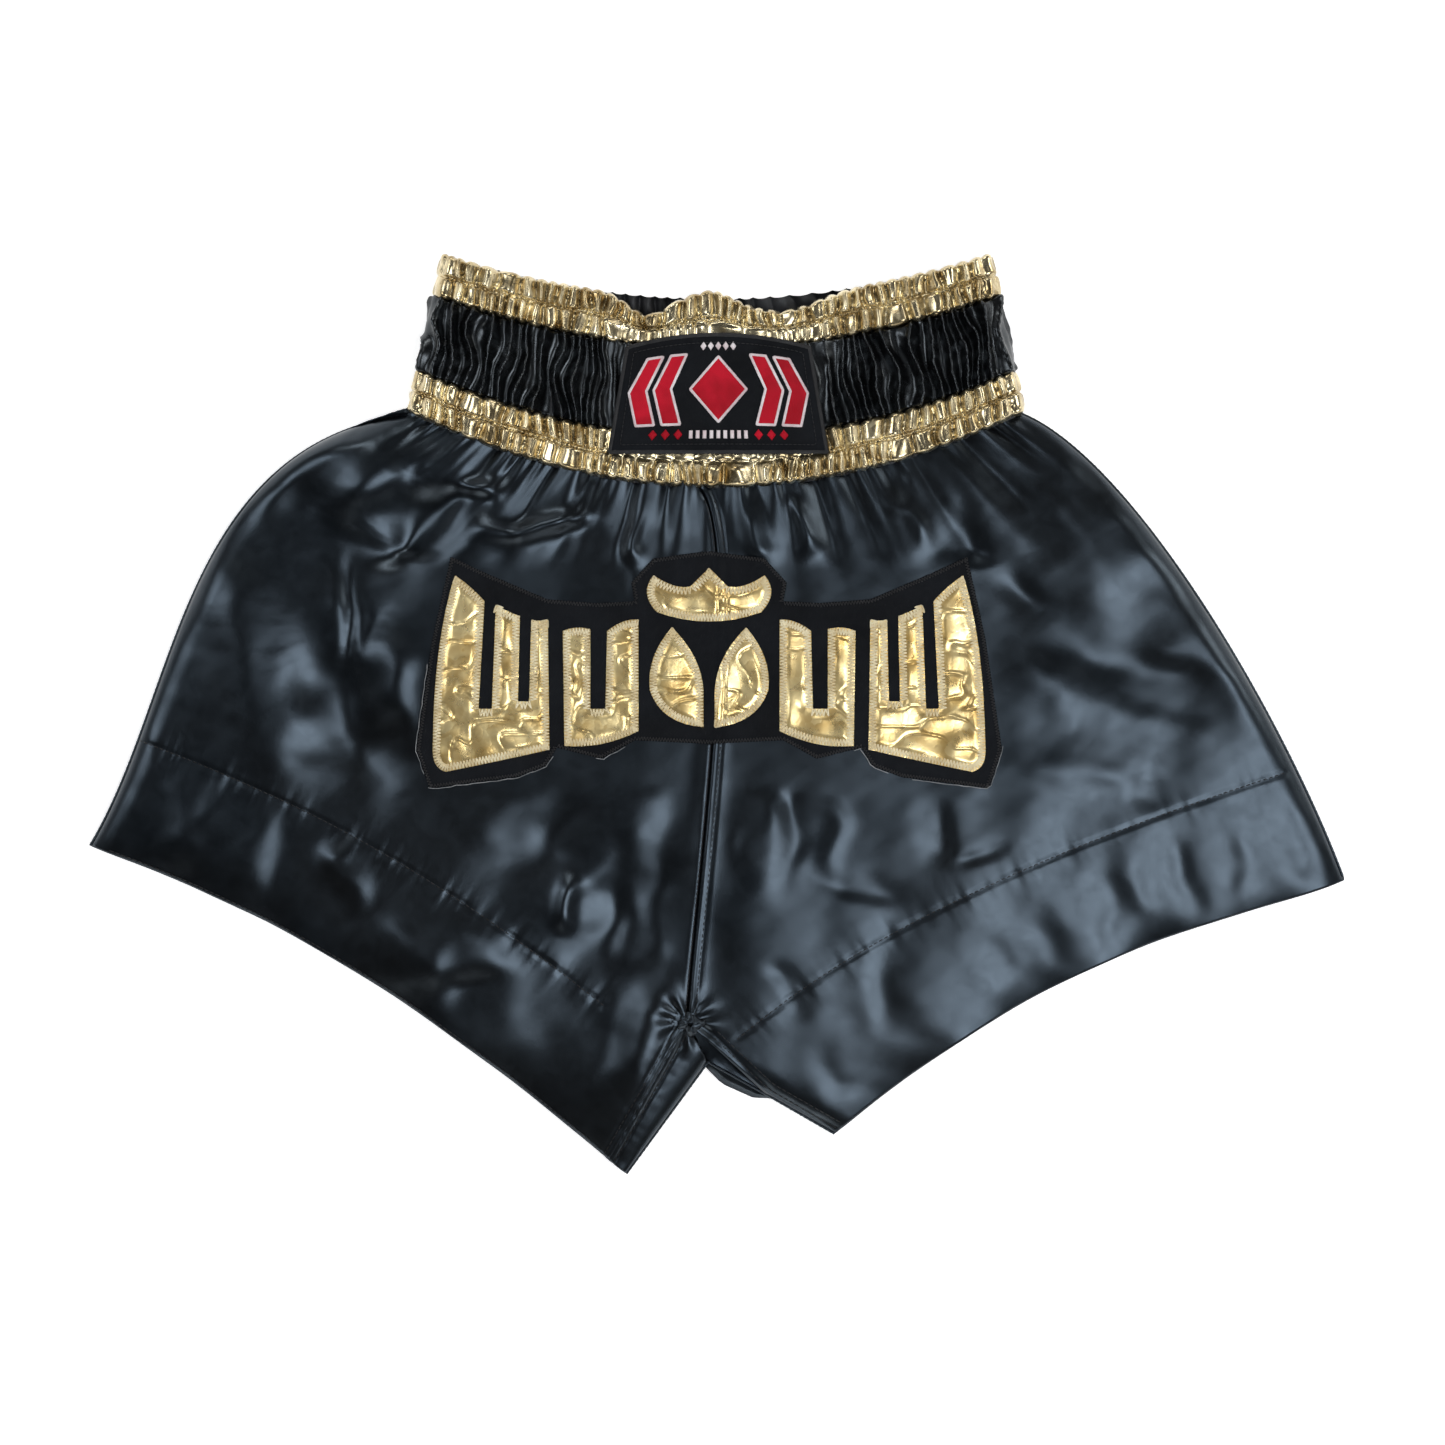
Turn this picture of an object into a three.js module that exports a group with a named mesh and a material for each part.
// Satin boxing shorts, lying flat with the front up.
// Millimetres. X runs across the waist, Y runs up the body to the waistband, Z is up from the floor.

import * as THREE from 'three';

// ---------- Driving dimensions ----------

const clearance = 0.3; // air between two layers that touch

const cloth = {
  panel: 1.2, // body satin with its loft
  allowance: 1.0, // turned hems and overlocked seam allowances
  lining: 1.0,
  elastic: 1.0,
  casing: 1.4, // ruched outer cloth of the waistband
  thread: 0.3,
  backing: 1.0, // twill under the applique
  foil: 1.0, // quilted gold pieces
  label: 1.2,
  emblem: 0.8,
};
const legRoom = 9.5; // air between the front and the back of a leg
const threadWidth = 1.0;

const band = {
  topHalfWidth: 148,
  bottomHalfWidth: 166,
  topMiddle: 223, // height up the body of the top edge, at the centre
  height: 101, // at the centre
  topSag: 24, // how far the centre hangs below the ends
  bottomSag: 40.7,
  goldHeight: 26, // each gold casing
};
const elastic = { width: 10.5, inGold: 2, inBlack: 4 };

const hemDepth = 64;
const sideSeamStart = 14; // the rolled side seam begins this far down from the waistband
const seamAllowanceWidth = 12;
const crotch = new THREE.Vector2(-6, -188);
const crotchKnot = 11; // side of the stitched knot where four seams meet
const centreSeamBend = [new THREE.Vector2(16, 88), new THREE.Vector2(-13, -111)];

// Each leg lies at its own angle. Panel edges, from the waistband down.
const legShape = {
  left: {
    side: -1,
    sideBend: [new THREE.Vector2(-284, 140), new THREE.Vector2(-285, 6)],
    hemOuter: new THREE.Vector2(-332, -75),
    hemBend: [new THREE.Vector2(-228, -112), new THREE.Vector2(-163, -153)],
    hemInner: new THREE.Vector2(-55.5, -245),
  },
  right: {
    side: 1,
    sideBend: [new THREE.Vector2(216, 138), new THREE.Vector2(299, 2)],
    hemOuter: new THREE.Vector2(333, -91),
    hemBend: [new THREE.Vector2(279, -113), new THREE.Vector2(192, -120)],
    hemInner: new THREE.Vector2(62, -220),
  },
};

const label = {
  centre: 1,
  fromTop: 20, // below the waistband's top edge
  height: 63,
  topHalfWidth: 49,
  bottomHalfWidth: 58.5,
  arch: 7, // how far the top edge rises in its middle
  border: 2.4,
};

const applique = {
  centre: new THREE.Vector2(-4, 20),
  margin: 9, // backing that shows round the gold
};

// ---------- Layers, from the floor up ----------

const layer = (bottom, thickness) => ({ bottom, top: bottom + thickness, middle: bottom + thickness / 2 });
const above = (lower, thickness, gap = clearance) => layer(lower.top + gap, thickness);

const backPanelLayer = layer(0, cloth.panel);
const backAllowanceLayer = above(backPanelLayer, cloth.allowance);
const frontAllowanceLayer = above(backAllowanceLayer, cloth.allowance, legRoom);
const frontPanelLayer = above(frontAllowanceLayer, cloth.panel);
const threadLayer = above(frontPanelLayer, cloth.thread);
const backingLayer = above(threadLayer, cloth.backing);
const foilLayer = above(backingLayer, cloth.foil);
const liningLayer = layer(frontPanelLayer.middle - cloth.lining / 2, cloth.lining);
const elasticLayer = above(liningLayer, cloth.elastic);
const casingLayer = above(elasticLayer, cloth.casing);
const labelLayer = above(casingLayer, cloth.label);
const emblemLayer = above(labelLayer, cloth.emblem);
const bandMiddle = casingLayer.top / 2;

// ---------- Materials ----------

const finish = (color, roughness, metalness = 0) => () =>
  new THREE.MeshStandardMaterial({ color, roughness, metalness });
const satin = finish(0x15181d, 0.4);
const goldFoil = finish(0xc9a050, 0.35, 0.7);
const lining = finish(0x0d0e11, 0.8);
const elasticWeb = finish(0xd8d6d0, 0.8);
const twill = finish(0x20252b, 0.9);
const thread = finish(0x0a0b0d, 0.7);
const embroidery = finish(0xb81028, 0.7);

const shorts = new THREE.Group();

function addPiece(name, material, geometry) {
  const piece = new THREE.Mesh(geometry, material());
  piece.name = name;
  shorts.add(piece);
}

// ---------- Thin closed bodies ----------

// A body between two matching grids of points. A looped grid closes on itself like a belt.
function skin(outside, inside, looped = false) {
  const rows = outside.length;
  const columns = outside[0].length;
  const points = [...outside.flat(), ...inside.flat()];
  const at = (side, row, column) => (side * rows + row) * columns + (column % columns);
  const faces = [];
  const quad = (a, b, c, d) => faces.push(a, b, c, a, c, d);
  const spans = looped ? columns : columns - 1;
  for (let row = 0; row < rows - 1; row += 1) {
    for (let column = 0; column < spans; column += 1) {
      quad(at(0, row, column), at(0, row + 1, column), at(0, row + 1, column + 1), at(0, row, column + 1));
      quad(at(1, row, column), at(1, row, column + 1), at(1, row + 1, column + 1), at(1, row + 1, column));
    }
  }
  for (let column = 0; column < spans; column += 1) {
    quad(at(0, 0, column), at(0, 0, column + 1), at(1, 0, column + 1), at(1, 0, column));
    const last = rows - 1;
    quad(at(0, last, column), at(1, last, column), at(1, last, column + 1), at(0, last, column + 1));
  }
  if (!looped) {
    const last = columns - 1;
    for (let row = 0; row < rows - 1; row += 1) {
      quad(at(0, row, 0), at(1, row, 0), at(1, row + 1, 0), at(0, row + 1, 0));
      quad(at(0, row, last), at(0, row + 1, last), at(1, row + 1, last), at(1, row, last));
    }
  }
  if (enclosedVolume(points, faces) < 0) faces.reverse();
  const geometry = new THREE.BufferGeometry().setFromPoints(points);
  geometry.setIndex(faces);
  geometry.computeVertexNormals();
  return geometry;
}

function enclosedVolume(points, faces) {
  let volume = 0;
  const across = new THREE.Vector3();
  for (let i = 0; i < faces.length; i += 3) {
    across.crossVectors(points[faces[i + 1]], points[faces[i + 2]]);
    volume += points[faces[i]].dot(across) / 6;
  }
  return volume;
}

const steps = (from, to, count) =>
  Array.from({ length: count + 1 }, (_, i) => THREE.MathUtils.lerp(from, to, i / count));

// A flat piece of cloth: plan(u, v) gives its place on the floor plan.
function plate(plan, us, vs, level) {
  const grid = (z) => vs.map((v) => us.map((u) => {
    const { x, y } = plan(u, v);
    return new THREE.Vector3(x, y, z);
  }));
  return skin(grid(level.top), grid(level.bottom));
}

function extrudedShape(shape, level) {
  const geometry = new THREE.ExtrudeGeometry(shape, {
    depth: level.top - level.bottom,
    bevelEnabled: false,
    curveSegments: 6,
  });
  return geometry.translate(0, 0, level.bottom);
}

// ---------- Waistband ----------

// Plan of the waistband: across runs from -1 to 1, down is the distance below the top edge.
function bandPlan(across, down) {
  const share = down / band.height;
  const top = band.topMiddle + band.topSag * across ** 2;
  const bottom = band.topMiddle - band.height + band.bottomSag * across ** 2;
  return new THREE.Vector2(across * bandHalfWidth(down), THREE.MathUtils.lerp(top, bottom, share));
}

function bandHalfWidth(down) {
  return THREE.MathUtils.lerp(band.topHalfWidth, band.bottomHalfWidth, down / band.height);
}

// Stations round a flattened loop: a share of the straight run, and the direction that faces out.
function loopStations() {
  const acrossCount = 12;
  const endCount = 4;
  const run = steps(-1, 1, acrossCount);
  const turn = steps(Math.PI / 2, -Math.PI / 2, endCount).slice(1, -1);
  return [
    ...run.map((share) => ({ share, out: [0, 1] })),
    ...turn.map((angle) => ({ share: 1, out: [Math.cos(angle), Math.sin(angle)] })),
    ...run.map((share) => ({ share: -share, out: [0, -1] })),
    ...turn.map((angle) => ({ share: -1, out: [-Math.cos(angle), -Math.sin(angle)] })),
  ];
}

// One belt of the waistband. wall is the layer that its front wall takes.
function belt(fromTop, height, wall) {
  const stations = loopStations();
  const ring = (reach) => steps(fromTop, fromTop + height, 2).map((down) => stations.map(({ share, out }) => {
    const straight = bandHalfWidth(down) - bandMiddle;
    const x = share * straight + out[0] * reach;
    const { y } = bandPlan(x / bandHalfWidth(down), down);
    return new THREE.Vector3(x, y, bandMiddle + out[1] * reach);
  }));
  return skin(ring(wall.top - bandMiddle), ring(wall.bottom - bandMiddle), true);
}

function addWaistband() {
  const blackHeight = band.height - 2 * band.goldHeight - 2 * clearance;
  const blackTop = band.goldHeight + clearance;
  const lowerGoldTop = blackTop + blackHeight + clearance;
  addPiece('casing_gold_upper', goldFoil, belt(0, band.goldHeight, casingLayer));
  addPiece('casing_black_middle', satin, belt(blackTop, blackHeight, casingLayer));
  addPiece('casing_gold_lower', goldFoil, belt(lowerGoldTop, band.goldHeight, casingLayer));
  addPiece('waist_lining', lining, belt(0, band.height, liningLayer));
  addElastics('gold_upper', 0, band.goldHeight, elastic.inGold);
  addElastics('black_middle', blackTop, blackHeight, elastic.inBlack);
  addElastics('gold_lower', lowerGoldTop, band.goldHeight, elastic.inGold);
}

// Equal elastics share a casing, each centred in its own channel.
function addElastics(place, fromTop, height, count) {
  const channel = height / count;
  for (let i = 0; i < count; i += 1) {
    const start = fromTop + channel * (i + 0.5) - elastic.width / 2;
    addPiece(`elastic_${place}_${i + 1}`, elasticWeb, belt(start, elastic.width, elasticLayer));
  }
}

// ---------- Legs ----------

const crotchRow = 0.75; // the share of a panel's inner edge that is centre seam; the rest is inseam
const rollRadius = (frontPanelLayer.middle - backPanelLayer.middle) / 2;

function centreSeam() {
  const top = bandPlan(0, band.height + clearance);
  return new THREE.CubicBezierCurve(top, centreSeamBend[0], centreSeamBend[1], crotch);
}

// The four edges of a leg's panel and the surface stretched between them.
// u runs from the side seam to the centre, v from the waistband to the hem.
function legPlan(leg) {
  const seam = centreSeam();
  const side = legSide(leg);
  const hem = new THREE.CubicBezierCurve(leg.hemOuter, ...leg.hemBend, leg.hemInner);
  const apart = new THREE.Vector2((leg.side * clearance) / 2, 0);
  const inseam = new THREE.LineCurve(crotch, leg.hemInner);
  const inner = (v) => (v <= crotchRow
    ? seam.getPoint(v / crotchRow).add(apart)
    : inseam.getPoint((v - crotchRow) / (1 - crotchRow)).add(apart));
  const waist = (u) => bandPlan(leg.side * (1 - u), band.height + clearance).addScaledVector(apart, u);
  return (u, v) => {
    const between = new THREE.Vector2()
      .addScaledVector(waist(u), 1 - v)
      .addScaledVector(hem.getPoint(u).addScaledVector(apart, u), v)
      .addScaledVector(side.getPoint(v), 1 - u)
      .addScaledVector(inner(v), u);
    return between
      .addScaledVector(waist(0), -(1 - u) * (1 - v))
      .addScaledVector(inner(0), -u * (1 - v))
      .addScaledVector(leg.hemOuter, -(1 - u) * v)
      .addScaledVector(inner(1), -u * v);
  };
}

function legSide(leg) {
  const waistEnd = bandPlan(leg.side, band.height + clearance);
  return new THREE.CubicBezierCurve(waistEnd, ...leg.sideBend, leg.hemOuter);
}

// The rolled edge where the front meets the back, at chosen shares of an edge curve.
function rolledSeam(edge, shares, outwardSide) {
  const centreHeight = (frontPanelLayer.middle + backPanelLayer.middle) / 2;
  const grid = (radius) => shares.map((t) => {
    const start = edge.getPoint(t);
    const along = edge.getTangent(t);
    const outward = new THREE.Vector2(-outwardSide * along.y, outwardSide * along.x);
    return steps(-Math.PI / 2, Math.PI / 2, 6).map((angle) => {
      const reach = clearance + radius * Math.cos(angle);
      const place = start.clone().addScaledVector(outward, reach);
      return new THREE.Vector3(place.x, place.y, centreHeight + radius * Math.sin(angle));
    });
  });
  return skin(grid(rollRadius + cloth.panel / 2), grid(rollRadius - cloth.panel / 2));
}

function addLeg(name, leg) {
  const plan = legPlan(leg);
  const side = legSide(leg);
  const inseam = new THREE.LineCurve(crotch, leg.hemInner);
  const hemRow = 1 - hemDepth / side.getLength();
  const across = steps(0, 1, 10);
  const inseamShares = steps(0, 1, 3);
  const down = [...steps(0, crotchRow, 8), ...inseamShares.slice(1).map((t) => crotchRow + t * (1 - crotchRow))];

  addPiece(`${name}_front_panel`, satin, plate(plan, across, down, frontPanelLayer));
  addPiece(`${name}_back_panel`, satin, plate(plan, across, down, backPanelLayer));

  const hemAcross = steps(0.02, 0.98, 10);
  const hemDown = steps(hemRow, 1, 3);
  addPiece(`${name}_front_hem_turnup`, satin, plate(plan, hemAcross, hemDown, frontAllowanceLayer));
  addPiece(`${name}_back_hem_turnup`, satin, plate(plan, hemAcross, hemDown, backAllowanceLayer));

  const sideStart = sideSeamStart / side.getLength();
  const sideShares = [sideStart, ...down.filter((t) => t > sideStart)];
  addPiece(`${name}_side_seam`, satin, rolledSeam(side, sideShares, leg.side));
  const inseamStart = (rollRadius + cloth.panel + crotchKnot / 2) / inseam.getLength();
  const rolledShares = [inseamStart, ...inseamShares.filter((t) => t > inseamStart)];
  addPiece(`${name}_inseam`, satin, rolledSeam(inseam, rolledShares, -leg.side));

  addTopstitches(name, leg, plan, hemRow);
}

// Rows of stitching that show on the front of a leg.
function addTopstitches(name, leg, plan, hemRow) {
  const halfRow = threadWidth / 2 / legSide(leg).getLength();
  const hemStitch = plate(plan, steps(0.01, 0.97, 14), [hemRow - halfRow, hemRow + halfRow], threadLayer);
  addPiece(`${name}_hem_stitching`, thread, hemStitch);

  const legWidth = leg.hemOuter.distanceTo(leg.hemInner);
  const rowFrom = 1 - 3 / legWidth;
  const rowSides = [rowFrom - threadWidth / legWidth, rowFrom];
  const seamStitch = plate(plan, rowSides, steps(0, crotchRow - 0.04, 14), threadLayer);
  addPiece(`${name}_centre_seam_stitching`, thread, seamStitch);
  const inseamStitch = plate(plan, rowSides, steps(hemRow + 0.02, 0.99, 5), threadLayer);
  addPiece(`${name}_inseam_stitching`, thread, inseamStitch);
}

// ---------- Centre seams and the crotch knot ----------

function addCentreSeams() {
  const seam = centreSeam();
  const halfWidth = seamAllowanceWidth / 2;
  const seamPlan = (u, v) => seam.getPoint(v).add(new THREE.Vector2(u * halfWidth, 0));
  const end = seam.getUtoTmapping(1 - (crotchKnot + clearance * 2) / seam.getLength());
  const down = steps(0.02, end, 12);
  addPiece('front_centre_seam_allowance', satin, plate(seamPlan, [-1, 1], down, frontAllowanceLayer));
  addPiece('back_centre_seam_allowance', satin, plate(seamPlan, [-1, 1], down, backAllowanceLayer));

  const knot = new THREE.BoxGeometry(crotchKnot, crotchKnot, frontAllowanceLayer.top - backAllowanceLayer.bottom);
  const knotHeight = (frontAllowanceLayer.top + backAllowanceLayer.bottom) / 2;
  knot.translate(crotch.x, crotch.y + crotchKnot / 2, knotHeight);
  addPiece('crotch_seam_knot', satin, knot);
}

// ---------- Label ----------

// Plan of the label: u from -1 to 1 across, v from 0 at the top to 1 at the bottom.
function labelPlan(u, v) {
  const halfWidth = THREE.MathUtils.lerp(label.topHalfWidth, label.bottomHalfWidth, v);
  const rise = label.arch * (1 - v) * (1 - u * u);
  const y = band.topMiddle - label.fromTop - v * label.height + rise - label.arch * (1 - v);
  return new THREE.Vector2(label.centre + u * halfWidth, y);
}

function addLabel() {
  addPiece('label_patch', twill, plate(labelPlan, steps(-1, 1, 10), steps(0, 1, 3), labelLayer));
  addPiece('label_border_stitch', thread, labelBorder());
  addPiece('label_emblem_left', embroidery, labelBars(-0.86, -0.3));
  addPiece('label_emblem_right', embroidery, labelBars(0.3, 0.86));
  addPiece('label_emblem_middle', embroidery, labelDiamond());
}

// A closed line of stitching just inside the label's edge.
function labelBorder() {
  const count = 8;
  const edge = (inset) => {
    const u = 1 - inset / label.topHalfWidth;
    const v = inset / label.height;
    const across = steps(-u, u, count);
    return [
      ...across.map((x) => [x, v]),
      ...across.map((x) => [-x, 1 - v]),
    ].map(([x, y]) => labelPlan(x, y));
  };
  const ring = (z) => [edge(1), edge(label.border)].map((loop) => loop.map(({ x, y }) => new THREE.Vector3(x, y, z)));
  return skin(ring(emblemLayer.bottom + cloth.thread), ring(emblemLayer.bottom), true);
}

// A slanted bar of the woven emblem, between two shares of the label's width.
function labelBars(from, to) {
  return plate(labelPlan, steps(from, to, 4), steps(0.3, 0.7, 2), emblemLayer);
}

function labelDiamond() {
  const diamond = (u, v) => labelPlan(u * (1 - Math.abs(2 * v - 1)), 0.2 + 0.62 * v);
  return plate(diamond, [-0.24, 0, 0.24], [0.02, 0.5, 0.98], emblemLayer);
}

// ---------- Applique ----------

// Outlines are drawn right of the centre line; side = -1 mirrors them to the left.
const place = (side, x, y) => [applique.centre.x + side * x, applique.centre.y + y];

function outline(side, start, draw) {
  const shape = new THREE.Shape();
  const pen = {
    line: (x, y) => shape.lineTo(...place(side, x, y)),
    curve: (cx, cy, x, y) => shape.quadraticCurveTo(...place(side, cx, cy), ...place(side, x, y)),
  };
  shape.moveTo(...place(side, ...start));
  draw(pen);
  shape.closePath();
  return shape;
}

// The big outer wing: three feathers that share a base.
const outerWing = (side) => outline(side, [86, -40], (pen) => {
  pen.curve(112, -46, 142, -52);
  pen.curve(150, -50, 149, -38);
  pen.curve(148, 20, 137, 54);
  pen.curve(128, 48, 121, 40);
  pen.line(124, -18);
  pen.line(117, -18);
  pen.line(115, 38);
  pen.curve(108, 34, 102, 32);
  pen.line(103, -14);
  pen.line(97, -14);
  pen.line(96, 30);
  pen.curve(90, 29, 87, 30);
});

// The short inner wing: two feathers.
const innerWing = (side) => outline(side, [38, -30], (pen) => {
  pen.curve(58, -40, 78, -38);
  pen.line(79, 24);
  pen.curve(72, 27, 64, 25);
  pen.line(64, -18);
  pen.line(56, -18);
  pen.line(55, 24);
  pen.curve(46, 31, 38, 30);
});

// A lotus petal beside the centre line.
const petal = (side) => outline(side, [3, -28], (pen) => {
  pen.curve(26, -26, 32, -8);
  pen.curve(34, 10, 20, 26);
  pen.curve(4, 10, 3, -8);
});

// The crest over the petals: a low crown that spans the centre line.
function crest() {
  const shape = new THREE.Shape();
  shape.moveTo(...place(-1, 28, 34));
  shape.quadraticCurveTo(...place(1, 0, 24), ...place(1, 28, 34));
  shape.quadraticCurveTo(...place(1, 38, 44), ...place(1, 30, 54));
  shape.quadraticCurveTo(...place(1, 18, 46), ...place(1, 10, 48));
  shape.quadraticCurveTo(...place(1, 4, 54), ...place(1, 0, 58));
  shape.quadraticCurveTo(...place(-1, 4, 54), ...place(-1, 10, 48));
  shape.quadraticCurveTo(...place(-1, 18, 46), ...place(-1, 30, 54));
  shape.quadraticCurveTo(...place(-1, 38, 44), ...place(-1, 28, 34));
  return shape;
}

// The twill backing: one sheet that follows the gold pieces with a margin.
function backing() {
  const shape = new THREE.Shape();
  const half = [
    [0, 58 + applique.margin], [30, 54 + applique.margin], [42, 50], [40, 40], [60, 30 + applique.margin],
    [87, 32 + applique.margin], [120, 46 + applique.margin], [137 + applique.margin / 4, 55 + applique.margin],
    [140 + applique.margin, 20], [149 + applique.margin, -40], [142 + applique.margin, -52 - applique.margin],
    [104, -46 - applique.margin], [88, -40 - applique.margin], [82, -30 - applique.margin],
    [58, -36 - applique.margin], [40, -26 - applique.margin], [0, -28 - applique.margin],
  ];
  half.forEach(([x, y], i) => (i ? shape.lineTo(...place(1, x, y)) : shape.moveTo(...place(1, x, y))));
  half.slice(1, -1).reverse().forEach(([x, y]) => shape.lineTo(...place(-1, x, y)));
  shape.closePath();
  return shape;
}

function addApplique() {
  addPiece('applique_backing', twill, extrudedShape(backing(), backingLayer));
  addPiece('applique_crest', goldFoil, extrudedShape(crest(), foilLayer));
  for (const [name, side] of [['left', -1], ['right', 1]]) {
    addPiece(`applique_outer_wing_${name}`, goldFoil, extrudedShape(outerWing(side), foilLayer));
    addPiece(`applique_inner_wing_${name}`, goldFoil, extrudedShape(innerWing(side), foilLayer));
    addPiece(`applique_petal_${name}`, goldFoil, extrudedShape(petal(side), foilLayer));
  }
}

// ---------- Assembly ----------

addWaistband();
addLeg('left', legShape.left);
addLeg('right', legShape.right);
addCentreSeams();
addLabel();
addApplique();

// The origin is on the floor under the middle of the shorts.
const extent = new THREE.Box3().setFromObject(shorts);
const middle = extent.getCenter(new THREE.Vector3());
shorts.position.set(-middle.x, -middle.y, -extent.min.z);

export default shorts;
